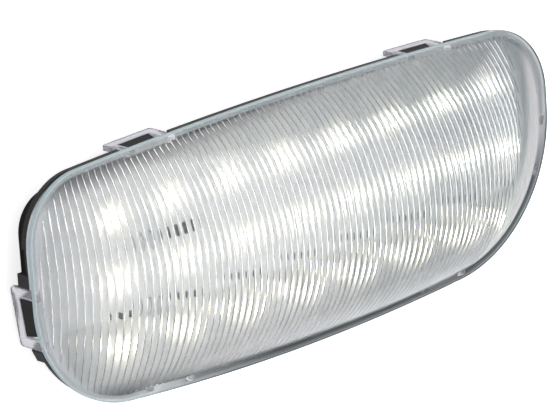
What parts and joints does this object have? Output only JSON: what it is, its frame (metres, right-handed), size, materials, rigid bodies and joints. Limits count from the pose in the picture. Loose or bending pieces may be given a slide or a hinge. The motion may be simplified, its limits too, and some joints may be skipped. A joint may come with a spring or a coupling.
{
  "type": "car dome light",
  "caption": "Interior dome light: a ribbed clear lens, arched and taller at one end, clips by moulded loops to a black base that holds a white board with a grid of lamps",
  "frame": {"origin": "middle of the flat back of the base, the face that lies on the roof panel", "axes": "+Z out of the roof panel through the lens, +X along the length toward the taller end of the dome, +Y across toward the long edge with the tighter corners"},
  "size_m": [0.2, 0.0754, 0.0364],
  "materials": {
    "clear_lens": "clear moulded plastic, polished outside and finely ribbed inside",
    "black_plastic": "fine moulded grain",
    "white_board": "white solder mask",
    "lamp_package": "white package with a pale yellow well",
    "resistor_body": "matte",
    "diode_body": "matte",
    "screw_steel": "zinc plated",
    "blade_brass": "tinned"
  },
  "bodies": {
    "root": {"lens": "clear_lens", "base_housing": "black_plastic", "lamp_board": "white_board", "lamp_1_1": "lamp_package", "lamp_1_2": "lamp_package", "lamp_1_3": "lamp_package", "lamp_1_4": "lamp_package", "lamp_1_5": "lamp_package", "lamp_1_6": "lamp_package", "lamp_1_7": "lamp_package", "lamp_1_8": "lamp_package", "lamp_2_1": "lamp_package", "lamp_2_2": "lamp_package", "lamp_2_3": "lamp_package", "lamp_2_4": "lamp_package", "lamp_2_5": "lamp_package", "lamp_2_6": "lamp_package", "lamp_2_7": "lamp_package", "lamp_2_8": "lamp_package", "lamp_3_1": "lamp_package", "lamp_3_2": "lamp_package", "lamp_3_3": "lamp_package", "lamp_3_4": "lamp_package", "lamp_3_5": "lamp_package", "lamp_3_6": "lamp_package", "lamp_3_7": "lamp_package", "lamp_3_8": "lamp_package", "resistor_1": "resistor_body", "resistor_2": "resistor_body", "resistor_3": "resistor_body", "resistor_4": "resistor_body", "resistor_5": "resistor_body", "resistor_6": "resistor_body", "resistor_7": "resistor_body", "resistor_8": "resistor_body", "polarity_diode": "diode_body", "board_screws": "screw_steel", "supply_blade": "blade_brass", "earth_blade": "blade_brass"}
  },
  "joints": []
}
